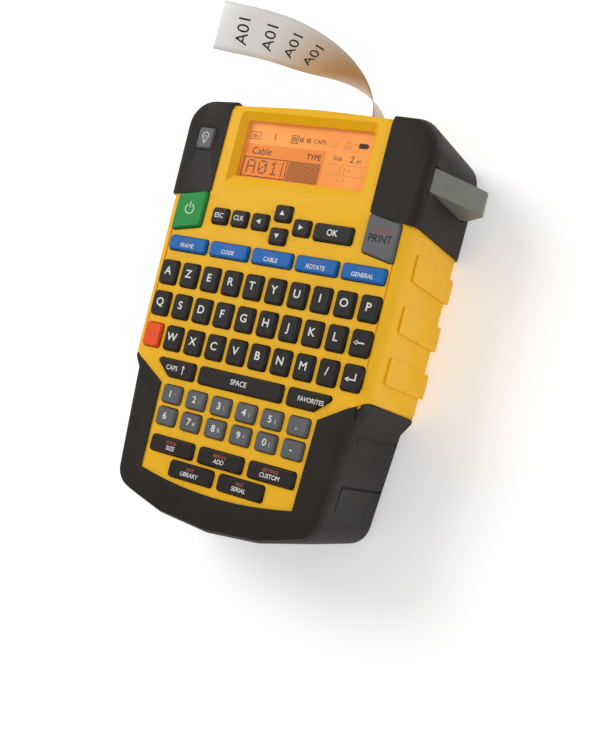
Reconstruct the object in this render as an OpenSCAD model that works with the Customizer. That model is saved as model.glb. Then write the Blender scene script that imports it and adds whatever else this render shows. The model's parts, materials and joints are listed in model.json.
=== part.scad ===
// Handheld label maker, lying on its back: +Z out of the keypad face, +Y towards the display end.
// The origin is on the back plane, under the middle of the case.

/* [Case] */
// Width of the case across the head
case_w = 115; // [96:1:138]
// Length of the case without its rubber
case_l = 177; // [148:1:213]
// Depth of the case from back to face
case_d = 56; // [50:1:68]
// Thickness of the side walls
wall = 2.4; // [2:0.1:3]
// Thickness of the face plate
plate_t = 2.6; // [2.2:0.1:3.2]
// Thickness of the back plate
back_t = 2.4; // [2:0.1:3]
// Height of the joint between the two shells above the back
parting_z = 25.5; // [22:0.5:30]
// Narrowing of each side from the head to the keypad
side_taper = 1.9; // [0:0.1:4]
// Radius of the head's corners in plan
head_r = 11; // [6:0.5:18]

/* [Rubber] */
// How far the rubber stands proud of the case
rubber_proud = 1.2; // [0.6:0.1:2]
// How deep the rubber is let into the case
rubber_sink = 0.8; // [0.4:0.1:1]
// Height of a grip pad above the side wall
pad_proud = 0.9; // [0.4:0.1:1.5]

/* [Keys] */
// Bare face left at each side of the letter keys
side_margin = 5; // [4:0.5:8]
// Bare face left at each end of the key grid
end_margin = 3.2; // [2:0.2:6]
// Width of face left between two letter keys
key_gap_x = 2.4; // [2.2:0.1:3.2]
// Length of face left between two letter rows
key_gap_y = 3.5; // [3:0.1:5]
// Height of a key above the face
key_proud = 1.8; // [1:0.1:3]
// How far a key travels when pressed
key_travel = 1.2; // [0.6:0.1:1.2]
// Gap between a key and its opening, on each side
key_clear = 0.35; // [0.2:0.05:0.5]
// Width of the flange that holds a key in
key_flange = 0.6; // [0.4:0.05:0.6]

/* [Display] */
// Width of the display window
window_w = 59.5; // [50:0.5:62]
// Height of the display window
window_h = 24.5; // [18:0.5:27]
// Depth of the display recess
recess_d = 3; // [1.5:0.1:4]

/* [Mechanism] */
// Width of the label tape
tape_w = 19; // [12:1:19]
// Height of the middle of the tape above the back
tape_z = 18; // [17:0.5:20]
// Distance of the tape to the right of the middle
tape_x = 13.2; // [12:0.2:16]
// Thickness of the tape
tape_t = 0.3; // [0.2:0.05:0.4]
// Radius of the platen roller
platen_r = 5.5; // [4.5:0.1:6]
// Module of the gears
gear_m = 0.7; // [0.6:0.05:0.75]
// Teeth of the platen gear
platen_teeth = 24; // [20:2:26]
// Teeth of the idler gear
idler_teeth = 30; // [26:2:32]
// Teeth of the motor pinion
pinion_teeth = 12; // [10:2:14]
// Angle that the cutter lever swings inwards
lever_swing = 14; // [6:1:14]
// How far the cutter lever reaches out of the side
lever_reach = 14; // [10:1:18]
// Running clearance of pins and shafts, on the radius
run_clear = 0.06; // [0.02:0.01:0.1]

/* [Label] */
// Length of printed label outside the slot
label_l = 94; // [20:1:110]
// Turn of the label towards the left as it leaves the slot, in degrees a millimetre
label_curl = 3.2; // [0:0.1:3.8]
// Turn of the label towards the face as it leaves the slot, in degrees a millimetre
label_rise = 2.9; // [0:0.1:3.5]
// Twist of the label as it leaves the slot, in degrees a millimetre
label_twist = 0.5; // [0:0.1:1.5]

/* [Hidden] */
eps = 0.01;

// --- Plan of the case -------------------------------------------------------
top_y = case_l / 2;
bottom_y = -case_l / 2;
head_half = case_w / 2;
waist_half = head_half - side_taper;
collar_drop = 3.6;
grip_half = waist_half - collar_drop;
foot_half = grip_half - 4.5;
pitch_x = (case_w - 2 * side_margin) / 10;
grid_rows = 12.5;
pitch_y = (case_l - 2 * end_margin) / grid_rows;
first_row_y = 0.77 * pitch_y;
rubber_line_y = first_row_y - 2.56 * pitch_y;
boot_inner_y = first_row_y + 2.75 * pitch_y;
boot_outer_y = first_row_y + 2.52 * pitch_y;
boot_x = 3.58 * pitch_x;

function col_x(c) = (c - 4.5) * pitch_x;
function row_y(r) = first_row_y + r * pitch_y;
function side_at(y) = head_half - side_taper * (top_y - y) / (top_y - rubber_line_y);

// A plan is a ring of circles, anticlockwise, that its outline wraps. Each entry is x, y and radius
function both_sides(right) = concat(
    right,
    [for (i = [len(right) - 1:-1:0]) if (right[i][0] > 0) [-right[i][0], right[i][1], right[i][2]]]
);
head_plan = both_sides([
    [waist_half - 8, rubber_line_y, 8],
    [head_half - head_r, top_y - 1.5 - head_r, head_r],
    [14, top_y - 8.3, 8],
    [0, top_y - 8, 8]
]);
grip_plan = both_sides([
    [0, bottom_y + 8, 8],
    [22, bottom_y + 10, 8],
    [foot_half - 9, bottom_y + 16, 9],
    [grip_half - 8, rubber_line_y + 8, 8]
]);
arc_step = 12;
function tangent_angle(a, b) =
    let (d = [b[0] - a[0], b[1] - a[1]])
    atan2(d.y, d.x) - acos((a[2] - b[2]) / norm(d));
function plan_outline(plan, inset) = [
    for (i = [0:len(plan) - 1])
        let (
            c = plan[i],
            a0 = tangent_angle(ring(plan, i - 1), c),
            sweep = (tangent_angle(c, ring(plan, i + 1)) - a0 + 720) % 360,
            n = ceil(sweep / arc_step)
        )
        for (k = [0:n])
            let (a = a0 + sweep * k / n)
            [c[0] + (c[2] - inset) * cos(a), c[1] + (c[2] - inset) * sin(a)]
];

// Each entry of a set of layers is a height and an inset
front_layers = [[parting_z, 0], [case_d - 4.5, 0], [case_d - 1.4, 1.2], [case_d, 3.8]];
rear_layers = [[0, 4.5], [1.5, 1.8], [5, 0], [parting_z, 0]];
whole_layers = concat([for (i = [0:2]) rear_layers[i]], [for (i = [1:3]) front_layers[i]]);
cavity_top = case_d - plate_t;
cavity_layers_front = [[parting_z - 1, 0], [cavity_top - 0.8, 0], [cavity_top, 0.8]];
cavity_layers_rear = [[back_t, 2], [back_t + 3, 0], [parting_z + 1, 0]];

// A closed shape that wraps a plan, through every layer
module skin(plan, layers, grow = 0, lift = 0) {
    n = len(plan_outline(plan, 0));
    top = len(layers) - 1;
    points = [
        for (l = layers, p = plan_outline(plan, l[1] - grow)) [p.x, p.y, l[0] + (l[0] > parting_z + 5 ? lift : 0)]
    ];
    sides = [for (l = [0:top - 1], i = [0:n - 1])
        let (a = l * n + i, b = l * n + (i + 1) % n)
        [a, a + n, b + n, b]];
    polyhedron(points, concat(sides, [[for (i = [0:n - 1]) i], [for (i = [n - 1:-1:0]) top * n + i]]));
}

// --- Rounded outlines -------------------------------------------------------
function unit(v) = v / norm(v);
function half_angle(p, a, b) = acos(unit(a - p) * unit(b - p)) / 2;
function ring(cs, i) = cs[(i + len(cs)) % len(cs)];
function grown(cs, d) = [
    for (i = [0:len(cs) - 1])
        let (p = cs[i], a = ring(cs, i - 1), b = ring(cs, i + 1))
        p - unit(unit(a - p) + unit(b - p)) * d / sin(half_angle(p, a, b))
];
function corner_arc(p, a, b, r, n) =
    let (
        h = half_angle(p, a, b),
        c = p + unit(unit(a - p) + unit(b - p)) * r / sin(h),
        ta = p + unit(a - p) * r / tan(h) - c,
        tb = p + unit(b - p) * r / tan(h) - c,
        start = atan2(ta.y, ta.x),
        turn = (atan2(tb.y, tb.x) - start + 900) % 360 - 180
    )
    [for (i = [0:n]) c + r * [cos(start + turn * i / n), sin(start + turn * i / n)]];
function rounded(cs, r, n = 3) = [
    for (i = [0:len(cs) - 1]) each corner_arc(cs[i], ring(cs, i - 1), ring(cs, i + 1), r, n)
];
function rect(x, y, w, h) = [
    [x - w / 2, y - h / 2], [x + w / 2, y - h / 2], [x + w / 2, y + h / 2], [x - w / 2, y + h / 2]
];
function mirrored(cs) = [for (i = [len(cs) - 1:-1:0]) [-cs[i].x, cs[i].y]];

module slab(cs, z0, z1, r = 1) {
    translate([0, 0, z0])
        linear_extrude(z1 - z0)
            polygon(rounded(cs, r));
}

module block(x0, x1, y0, y1, z0, z1) {
    translate([x0, y0, z0])
        cube([x1 - x0, y1 - y0, z1 - z0]);
}

// --- Where the rubber goes --------------------------------------------------
far = case_l;
island_x = 3.47 * pitch_x;
island_top_y = row_y(-3.36);
island_bottom_y = row_y(-6.0);
island_sag = 4;
function island_edge() = [
    for (i = [-6:6]) [island_x * i / 6, island_bottom_y - island_sag * (1 - pow(i / 6, 2))]
];
lower_region = concat(
    [[-far, rubber_line_y], [-waist_half + 0.6, rubber_line_y], [-island_x - 1, island_top_y]],
    island_edge(),
    [[island_x + 1, island_top_y], [waist_half - 0.6, rubber_line_y], [far, rubber_line_y],
     [far, -far], [-far, -far]]
);
boot_region = [
    [boot_x, far], [boot_x, boot_inner_y], [boot_x + 1, boot_inner_y - 0.8],
    [head_half - 4, boot_outer_y], [far, boot_outer_y], [far, far]
];

module region(points) {
    translate([0, 0, -1])
        linear_extrude(case_d + 10)
            polygon(points);
}

module boot_regions() {
    region(boot_region);
    mirror([1, 0, 0]) region(boot_region);
}

// --- Key layout -------------------------------------------------------------
key_w = pitch_x - key_gap_x;
key_h = pitch_y - key_gap_y;
small_w = 0.73 * pitch_x;
small_h = 0.49 * pitch_y;
blue_w = 1.79 * pitch_x;
blue_h = 0.46 * pitch_y;
blue_pitch = 1.97 * pitch_x;
number_w = 0.87 * pitch_x;
number_h = 0.54 * pitch_y;
number_pitch = 1.15 * pitch_x;
function_w = 2.0 * pitch_x;
function_h = 0.48 * pitch_y;
function_pitch = 2.265 * pitch_x;
nav_y = row_y(1.98);
function letter_keys(row) = [
    for (c = [(row == 2 ? 1 : 0):9]) rect(col_x(c), row_y(-row), key_w, key_h)
];
alternate_key = rect(col_x(0), row_y(-2), key_w, key_h);
function nav_key(c, r) = rect(col_x(c), row_y(r), small_w, small_h);
ok_key = rect(col_x(6.81), row_y(1.95), 1.63 * pitch_x, 0.51 * pitch_y);
function blue_keys() = [for (i = [-2:2]) rect(i * blue_pitch, row_y(0.95), blue_w, blue_h)];
function number_keys(row) = [
    for (i = [-2.5:2.5]) rect(i * number_pitch, row_y(-3.67 - 0.68 * row), number_w, number_h)
];
function function_keys(row) = [
    for (i = (row == 0 ? [-1, 0, 1] : [-0.5, 0.5]))
        rect(i * function_pitch, row_y(-5.19 - 0.61 * row), function_w, function_h)
];
space_key = rect(0, row_y(-2.89), 3.78 * pitch_x, 0.52 * pitch_y);
capitals_key = [
    [col_x(1.2), row_y(-3.15)], [col_x(2.38), row_y(-3.15)],
    [col_x(2.38), row_y(-2.63)], [col_x(0.45), row_y(-2.63)]
];
big_outer_x = 4.95 * pitch_x;
print_key = [
    [3.61 * pitch_x, row_y(1.57)], [big_outer_x, row_y(1.35)],
    [big_outer_x, row_y(2.5)], [3.61 * pitch_x, row_y(2.7)]
];
power_key = mirrored(print_key);
light_key = rect(-4.38 * pitch_x, row_y(4.35), 0.75 * pitch_x, 0.7 * pitch_y);
favourites_key = mirrored(capitals_key);
all_keys = concat(
    letter_keys(0), letter_keys(1), letter_keys(2), blue_keys(), number_keys(0), number_keys(1),
    function_keys(0), function_keys(1),
    [alternate_key, ok_key, space_key, capitals_key, favourites_key, print_key, power_key, light_key,
     nav_key(1.7, 1.98), nav_key(2.62, 1.98), nav_key(3.56, 1.98), nav_key(5.44, 1.98),
     nav_key(4.5, 2.33), nav_key(4.5, 1.63)]
);

flange_top_z = cavity_top - 0.1;
flange_t = 1.4;
stem_z = flange_top_z - flange_t - 2;
dome_h = 0.9;
dome_gap = key_travel + 0.2;
membrane_t = 1;
membrane_z = stem_z - dome_gap - dome_h - membrane_t;
board_t = 1.6;
board_z = membrane_z - board_t;
function middle(cs) = (cs[0] + cs[1] + cs[2] + cs[3]) / 4;

// A key cap with a drafted side, its holding flange and its stem
module key(cs, proud = key_proud, r = 1.1) {
    top = case_d + proud;
    hull() {
        slab(cs, flange_top_z - eps, case_d + proud * 0.55, r);
        slab(grown(cs, -0.55), top - eps, top, r);
    }
    slab(grown(cs, key_flange), flange_top_z - flange_t, flange_top_z, r);
    translate([middle(cs).x, middle(cs).y, stem_z])
        cylinder(r = 1.6, h = flange_top_z - stem_z, $fn = 24);
}

module keys(list) {
    for (cs = list) key(cs);
}

// --- Display ----------------------------------------------------------------
window_y = row_y(4.27);
recess_w = window_w + 4.8;
recess_top_y = window_y + window_h / 2 + 2.9;
recess_bottom_y = window_y - window_h / 2 - 4.5;
recess_floor_z = case_d - recess_d;
window_t = 1.2;
lcd_t = 2;
light_t = 2;
lcd_z = recess_floor_z - 1 - window_t - lcd_t;
light_z = lcd_z - light_t;
module recess_cut() {
    recess = rect(0, (recess_top_y + recess_bottom_y) / 2, recess_w, recess_top_y - recess_bottom_y);
    hull() {
        slab(rect(0, window_y, window_w, window_h), recess_floor_z, recess_floor_z + eps, 0.6);
        slab(recess, case_d, case_d + 1, 2);
    }
    slab(rect(0, window_y, window_w, window_h), recess_floor_z - 5, recess_floor_z + 1, 0.6);
}

// --- Mechanism places -------------------------------------------------------
frame_z = 33;
frame_t = 2;
gear_z = frame_z + frame_t + 0.8;
gear_t = 3;
side_gap = 0.3;
platen_x = tape_x - tape_t / 2 - side_gap - platen_r;
platen_y = top_y - 19.5;
shaft_r = 1.5;
function gear_reach(a, b) = gear_m * (a + b) / 2 + 0.05;
idler_angle = -50;
idler_pos = [platen_x, platen_y] + gear_reach(platen_teeth, idler_teeth) * [cos(idler_angle), sin(idler_angle)];
pinion_angle = -40;
pinion_pos = idler_pos + gear_reach(idler_teeth, pinion_teeth) * [cos(pinion_angle), sin(pinion_angle)];
motor_r = 9.5;
slot_w = 3;
cassette_x0 = -head_half + 15.5;
cassette_x1 = tape_x + 6;
cassette_y0 = top_y - 80.5;
cassette_y1 = top_y - 28.5;
cassette_z0 = tape_z - tape_w / 2 - 4;
cassette_z1 = tape_z + tape_w / 2 + 4;
cassette_wall = 1.5;
spool_r = 19.5;
spool_pos = [cassette_x0 + spool_r + 3, (cassette_y0 + cassette_y1) / 2];
supply_pos = [tape_x - 6.5, cassette_y0 + 10];
takeup_pos = [tape_x - 6.5, cassette_y1 - 14];
ribbon_r = 5;
post_r = 3;
door_x0 = cassette_x0 - 4;
door_x1 = cassette_x1 + 4;
door_y0 = cassette_y0 - 2;
door_y1 = cassette_y1 + 16;
door_gap = 0.3;
door_t = 2;
door_z = 0.3;
hinge_y = door_y0 + 2;
hinge_z = door_z + 1.6;
hinge_pin_r = 0.8;
knuckle_r = 1.6;
hinge_stations = [door_x0 + 12, door_x1 - 12];
battery_r = 7.1;
battery_l = 49.5;
battery_pitch = 14.6;
battery_half = 1.5 * battery_pitch;
battery_y0 = bottom_y + 17;
battery_y1 = battery_y0 + battery_l;
cover_half = battery_half + 1.5;
cover_y0 = battery_y0 - 3;
cover_y1 = battery_y1 + 3;
battery_z = back_t + 1.2 + battery_r;
battery_layers = [battery_z, battery_z + battery_pitch];

// --- Cutter places ----------------------------------------------------------
lever_w = 9.6;
lever_pivot = [head_half - 4.5, top_y - 23.6, case_d - 6.5];
lever_pin_r = 1.4;
carriage_z = tape_z - 4;
carriage_h = 8;
blade_y = top_y - 7;
blade_x = tape_x + 7.5;
blade_travel = 6.4;
arm_x = lever_pivot.x - 11.9;
spring_x0 = arm_x - 14;
spring_y = lever_pivot.y + 5.1;
spring_z = tape_z + 6;
spring_r = 2.8;

module lever_place() {
    translate(lever_pivot)
        children();
}

// --- Case -------------------------------------------------------------------
pad_pitch = 1.52 * pitch_y;
pad_len = 0.78 * pitch_y;
pad_first_y = row_y(1.5);
module grip_pads(z0, z1) {
    for (i = [0:2]) {
        y = pad_first_y - i * pad_pitch;
        reach = side_at(y) + pad_proud;
        for (s = [0, 1])
            mirror([s, 0, 0])
                translate([reach - 6, 0, 0])
                    rotate([90, 0, 90])
                        linear_extrude(6)
                            polygon(rounded(rect(y, (z0 + z1) / 2, pad_len, z1 - z0), 1.2));
    }
}

groove_w = 0.7;
groove_d = 0.5;
module edge_grooves() {
    for (s = [-1, 1])
        slab(rect(s * (waist_half - 3.6), (boot_outer_y + rubber_line_y) / 2 - 2, groove_w,
                  boot_outer_y - rubber_line_y - 12), case_d - groove_d, case_d + 1, groove_w / 2.1);
}

module lever_opening() {
    lever_place()
        block(-6.9, 30, -lever_w / 2 - 0.5, lever_w / 2 + 0.5, -38.5, 3.4);
}

screw_places = [
    [head_half - 6.5, rubber_line_y + 6.5], [-head_half + 6.5, rubber_line_y + 6.5],
    [head_half - 6.5, top_y - 62], [-head_half + 6.5, top_y - 62]
];
screw_r = 1.4;
inlet_y = top_y - 20;
inlet_z = 14;
inlet_r = 2.75;
inlet_body_r = 4.6;
inlet_l = 10;

module screw_posts(z0, z1) {
    for (p = screw_places)
        translate([p.x, p.y, z0])
            cylinder(r = 3.2, h = z1 - z0, $fn = 32);
}

module label_slot(z0, z1, y0 = top_y - 8) {
    block(tape_x - slot_w / 2, tape_x + slot_w / 2, y0, top_y + 4, z0, z1);
}

slot_top_z = tape_z + tape_w / 2 + 2;
module front_case() {
    color("gold")
        difference() {
            union() {
                difference() {
                    union() {
                        skin(head_plan, front_layers);
                        skin(grip_plan, front_layers);
                        grip_pads(parting_z, case_d - 10);
                    }
                    region(lower_region);
                    boot_regions();
                }
                skin(head_plan, front_layers, -rubber_sink, -rubber_sink);
                skin(grip_plan, front_layers, -rubber_sink, -rubber_sink);
            }
            difference() {
                union() {
                    skin(head_plan, cavity_layers_front, -wall);
                    skin(grip_plan, cavity_layers_front, -wall);
                }
                slab(rect(0, (recess_top_y + recess_bottom_y) / 2, recess_w + 3, recess_top_y - recess_bottom_y + 2),
                     recess_floor_z - 1, case_d, 1);
                screw_posts(parting_z, board_z - 0.5);
                lever_lugs();
            }
            recess_cut();
            for (cs = all_keys)
                slab(grown(cs, key_clear), case_d - plate_t - 1, case_d + 2, 1.3);
            edge_grooves();
            lever_opening();
            label_slot(parting_z - 1, slot_top_z);
            lever_place()
                rotate([90, 0, 0])
                    cylinder(r = lever_pin_r, h = lever_w + 8, center = true, $fn = 48);
            for (p = screw_places)
                translate([p.x, p.y, parting_z - 1])
                    cylinder(r = screw_r, h = 12, $fn = 32);
        }
}

module lever_lugs() {
    lever_place()
        for (s = [-1, 1])
            block(-4, 3, s * (lever_w / 2 + 2.5) - 2, s * (lever_w / 2 + 2.5) + 2, -4, 8);
}

module rear_case() {
    color("gold")
        difference() {
            union() {
                difference() {
                    union() {
                        skin(head_plan, rear_layers);
                        skin(grip_plan, rear_layers);
                        grip_pads(2, parting_z);
                    }
                    region(lower_region);
                    boot_regions();
                }
                skin(head_plan, rear_layers, -rubber_sink);
                skin(grip_plan, rear_layers, -rubber_sink);
            }
            difference() {
                union() {
                    skin(head_plan, cavity_layers_rear, -wall);
                    skin(grip_plan, cavity_layers_rear, -wall);
                }
                screw_posts(0, parting_z);
            }
            block(door_x0 - door_gap, door_x1 + door_gap, door_y0, door_y1 + door_gap, -1, back_t + 1);
            slab(rect(0, (cover_y0 + cover_y1) / 2, 2 * (cover_half + door_gap),
                      cover_y1 - cover_y0 + 2 * door_gap), -1, back_t + 1, 2);
            lever_opening();
            label_slot(-1, parting_z + 1, door_y1 - 1);
            translate([-head_half - 2, inlet_y, inlet_z])
                rotate([0, 90, 0])
                    cylinder(r = inlet_body_r + 0.2, h = 8, $fn = 48);
            for (p = screw_places) {
                translate([p.x, p.y, -1])
                    cylinder(r = screw_r + 0.3, h = parting_z + 2, $fn = 32);
                translate([p.x, p.y, -1])
                    cylinder(r = 2.8, h = 5, $fn = 32);
            }
        }
    color("gold")
        for (x = hinge_stations)
            difference() {
                block(x - 9.5, x - 6.5, door_y0 - 3, hinge_y + 1.8, back_t - 1.6, hinge_z + 2);
                hinge_bore(x, hinge_pin_r);
            }
}

module hinge_bore(x, r) {
    translate([x - 12, hinge_y, hinge_z])
        rotate([0, 90, 0])
            cylinder(r = r, h = 24, $fn = 32);
}

// --- Rubber -----------------------------------------------------------------
module case_core() {
    skin(head_plan, whole_layers, 0.03 - rubber_sink, 0.03 - rubber_sink);
    skin(grip_plan, whole_layers, 0.03 - rubber_sink, 0.03 - rubber_sink);
}

boot_groove_d = 0.8;
block_len = 0.75 * pitch_y;
module grip_blocks() {
    for (i = [0:1], s = [0, 1])
        mirror([s, 0, 0]) {
            y = row_y(-3.58) - i * pad_pitch * 0.98;
            reach = grip_half - 1.2 - 2.3 * i + rubber_proud;
            translate([reach - boot_groove_d, y, 0]) {
                block(0, 4, -block_len, -block_len + 0.01 + block_len, case_d - 10, case_d - 9);
                block(0, 4, 0, 1.1, 6, case_d - 9);
            }
        }
}

module bumper_lower() {
    color("#26221f")
        difference() {
            intersection() {
                union() {
                    skin(grip_plan, whole_layers, rubber_proud, 0.9);
                    collar();
                }
                region(lower_region);
            }
            case_core();
            grip_blocks();
        }
}

// The flared top of the lower rubber, which meets the yellow side walls
collar_l = 9;
collar_lip = 0.2;
module collar() {
    difference() {
        hull() {
            for (s = [-1, 1], l = [[4, 1], [case_d - 6, 0], [case_d - 2, 1.6]]) {
                translate([s * (waist_half + 0.6 - l[1] - 2), rubber_line_y - 2, l[0]])
                    cylinder(r = 2, h = collar_lip, $fn = 16);
                translate([s * (grip_half + rubber_proud - 1.4 - l[1] - 2), rubber_line_y - collar_l, l[0]])
                    cylinder(r = 2, h = collar_lip, $fn = 16);
            }
        }
        block(-grip_half - rubber_proud + 3.4, grip_half + rubber_proud - 3.4, -far, far, -1, case_d + 1);
    }
}

module top_boot() {
    difference() {
        intersection() {
            skin(head_plan, whole_layers, rubber_proud, 0.9);
            region(boot_region);
        }
        case_core();
    }
}

module bumper_top_left() {
    color("#26221f")
        difference() {
            mirror([1, 0, 0]) top_boot();
            slab(grown(light_key, key_clear), case_d - 2, case_d + 3, 1.3);
            translate([-head_half - 3, inlet_y, inlet_z])
                rotate([0, 90, 0])
                    cylinder(r = inlet_body_r + 0.4, h = 8, $fn = 48);
        }
}

module bumper_top_right() {
    color("#26221f")
        difference() {
            top_boot();
            lever_opening();
        }
}

// --- Display and boards -----------------------------------------------------
module display_window() {
    color("navajowhite", 0.4)
        slab(rect(0, window_y, window_w + 3, window_h + 3), recess_floor_z - 1 - window_t,
             recess_floor_z - 1, 1);
}

module lcd_panel() {
    color("orange")
        slab(rect(0, window_y, window_w + 4, window_h + 4), lcd_z, lcd_z + lcd_t, 0.6);
}

module backlight_panel() {
    color("white")
        slab(rect(0, window_y, window_w + 4, window_h + 4), light_z, light_z + light_t, 0.6);
}

board_half = island_x - 1;
module main_board() {
    color("darkgreen")
        difference() {
            union() {
                slab(rect(0, (island_bottom_y + row_y(2.9)) / 2, 2 * board_half,
                          row_y(2.9) - island_bottom_y), board_z, board_z + board_t, 2);
                slab(rect(0, row_y(0), 2 * (waist_half - 8), 5.4 * pitch_y), board_z, board_z + board_t, 2);
            }
            for (s = [-1, 1], y = [row_y(-5.6), row_y(1.2)])
                translate([s * (board_half - 3), y, board_z - 1])
                    cylinder(r = 1.5, h = board_t + 2, $fn = 32);
        }
}

module board_chips() {
    color("#222222") {
        slab(rect(-12, row_y(-1), 14, 14), board_z - 1.6, board_z, 0.6);
        slab(rect(12, row_y(-1.4), 9, 12), board_z - 1.2, board_z, 0.6);
        slab(rect(10, row_y(-3.2), 6, 8), board_z - 1.2, board_z, 0.6);
        slab(rect(-16, row_y(-3), 10, 5), board_z - 1.8, board_z, 0.6);
    }
}

module keypad_membrane() {
    color("#8a8a86")
        union() {
            slab(rect(0, (island_bottom_y + row_y(2.9)) / 2, 2 * board_half,
                      row_y(2.9) - island_bottom_y), membrane_z, membrane_z + membrane_t, 2);
            slab(rect(0, row_y(0), 2 * (waist_half - 8), 5.4 * pitch_y), membrane_z, membrane_z + membrane_t, 2);
            for (cs = all_keys)
                if (middle(cs).y < row_y(2.9))
                    translate([middle(cs).x, middle(cs).y, membrane_z])
                        cylinder(r = 1.7, h = membrane_t + dome_h, $fn = 24);
        }
}

// --- Print mechanism --------------------------------------------------------
function involute_x(rb, r) = r <= rb ? 0 : tan(acos(rb / r)) * 180 / PI - acos(rb / r);
function flank(teeth, r) =
    let (rp = gear_m * teeth / 2, rb = rp * cos(20))
    90 / teeth - 1.2 + involute_x(rb, rp) - involute_x(rb, r);
function gear_points(teeth) =
    let (rp = gear_m * teeth / 2, r0 = rp - 1.3 * gear_m, r1 = rp + 0.9 * gear_m)
    [for (k = [0:teeth - 1], q = [
            [-1, r0], [-1, (r0 + rp) / 2], [-1, rp], [-1, (rp + r1) / 2], [-1, r1],
            [1, r1], [1, (rp + r1) / 2], [1, rp], [1, (r0 + rp) / 2], [1, r0]])
        let (a = 360 * k / teeth + q[0] * flank(teeth, q[1]))
        q[1] * [cos(a), sin(a)]];

module gear(teeth, phase, bore) {
    difference() {
        linear_extrude(gear_t)
            polygon(gear_points(teeth) * [[cos(phase), sin(phase)], [-sin(phase), cos(phase)]]);
        translate([0, 0, -1])
            cylinder(r = bore, h = gear_t + 2, $fn = 48);
    }
}

// A tooth of the platen gear and of the pinion points at the idler, which has gaps there
idler_phase = idler_angle + 180 + 180 / idler_teeth;
function nearest_gap(phase, teeth, direction) =
    let (step = 360 / teeth) (direction - phase) / step - 0.5;
idler_slip = nearest_gap(idler_phase, idler_teeth, pinion_angle)
    - round(nearest_gap(idler_phase, idler_teeth, pinion_angle));
pinion_phase = pinion_angle + 180 + idler_slip * 360 / pinion_teeth;

module platen_roller() {
    color("#303030")
        translate([platen_x, platen_y, 0]) {
            translate([0, 0, tape_z - tape_w / 2 - 1])
                cylinder(r = platen_r, h = tape_w + 2, $fn = 64);
            translate([0, 0, tape_z - tape_w / 2 - 3])
                cylinder(r = shaft_r, h = gear_z + gear_t + 1 - (tape_z - tape_w / 2 - 3), $fn = 48);
        }
}

module platen_gear() {
    color("ivory")
        translate([platen_x, platen_y, gear_z])
            gear(platen_teeth, idler_angle, shaft_r);
}

idler_post_r = 2;
module idler_gear() {
    color("ivory")
        translate([idler_pos.x, idler_pos.y, gear_z])
            gear(idler_teeth, idler_phase, idler_post_r + run_clear);
}

motor_shaft_r = 1;
motor_z0 = 7;
module feed_motor() {
    color("silver")
        translate([pinion_pos.x, pinion_pos.y, 0])
            union() {
                translate([0, 0, motor_z0])
                    cylinder(r = motor_r, h = frame_z - motor_z0, $fn = 64);
                translate([0, 0, motor_z0 - 2])
                    cylinder(r = 3.5, h = 4, $fn = 32);
            }
}

module motor_pinion() {
    color("goldenrod")
        union() {
            translate([pinion_pos.x, pinion_pos.y, gear_z])
                gear(pinion_teeth, pinion_phase, motor_shaft_r);
            translate([pinion_pos.x, pinion_pos.y, frame_z + 0.2])
                cylinder(r = motor_shaft_r, h = gear_z + gear_t + 0.8 - frame_z - 0.2, $fn = 48);
        }
}

frame_y0 = cassette_y0 + 4;
frame_y1 = top_y - 9;
frame_x0 = -waist_half + 14;
frame_x1 = spring_x0 + 4;
module mechanism_frame() {
    color("#b9bcc0")
        difference() {
            union() {
                block(frame_x0, frame_x1, frame_y0, frame_y1, frame_z, frame_z + frame_t);
                block(frame_x1 - 1, pinion_pos.x + 9, pinion_pos.y - 9, pinion_pos.y + 9, frame_z, frame_z + frame_t);
                translate([idler_pos.x, idler_pos.y, frame_z])
                    cylinder(r = idler_post_r, h = gear_z + gear_t + 0.6 - frame_z, $fn = 48);
                translate([platen_x, platen_y, frame_z - 3])
                    cylinder(r = 3.6, h = 3 + frame_t, $fn = 48);
                block(spring_x0 - 2, spring_x0, spring_y - 4, spring_y + 4, spring_z - 4, frame_z + 1);
                block(tape_x + 3.5, tape_x + 5, platen_y - 5, platen_y + 5, tape_z - 10, frame_z + 1);
            }
            translate([platen_x, platen_y, frame_z - 10])
                cylinder(r = shaft_r + run_clear, h = 20, $fn = 48);
            translate([pinion_pos.x, pinion_pos.y, frame_z - 1])
                cylinder(r = motor_shaft_r + 0.8, h = 10, $fn = 48);
        }
}

module print_head() {
    color("#dcdccf")
        union() {
            block(tape_x + tape_t / 2 + side_gap, tape_x + 2.2, platen_y - 2, platen_y + 2,
                  tape_z - 9, tape_z + 9);
            block(tape_x + 2.2, tape_x + 3.5, platen_y - 5, platen_y + 5, tape_z - 10, tape_z + 10);
        }
}

// --- Label cassette ---------------------------------------------------------
module cassette_shell() {
    color("#3a3a3c")
        difference() {
            slab(rect((cassette_x0 + cassette_x1) / 2, (cassette_y0 + cassette_y1) / 2,
                      cassette_x1 - cassette_x0, cassette_y1 - cassette_y0), cassette_z0, cassette_z1, 2.5);
            difference() {
                block(cassette_x0 + cassette_wall, cassette_x1 - cassette_wall,
                      cassette_y0 + cassette_wall, cassette_y1 - cassette_wall,
                      cassette_z0 + cassette_wall, cassette_z1 - cassette_wall);
                for (p = [spool_pos, supply_pos, takeup_pos])
                    translate([p.x, p.y, cassette_z0])
                        cylinder(r = post_r, h = cassette_z1 - cassette_z0, $fn = 48);
            }
            block(tape_x - 1.5, tape_x + 1.5, cassette_y1 - 4, cassette_y1 + 1,
                  tape_z - tape_w / 2 - 1, tape_z + tape_w / 2 + 1);
        }
}

module spool(p, r, rim) {
    z0 = cassette_z0 + cassette_wall + 0.3;
    h = cassette_z1 - cassette_z0 - 2 * cassette_wall - 0.6;
    translate([p.x, p.y, 0])
        difference() {
            union() {
                translate([0, 0, z0])
                    cylinder(r = rim, h = 1, $fn = 64);
                translate([0, 0, z0])
                    cylinder(r = r, h = h, $fn = 64);
            }
            translate([0, 0, z0 - 1])
                cylinder(r = post_r + run_clear, h = h + 2, $fn = 48);
        }
}

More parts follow.
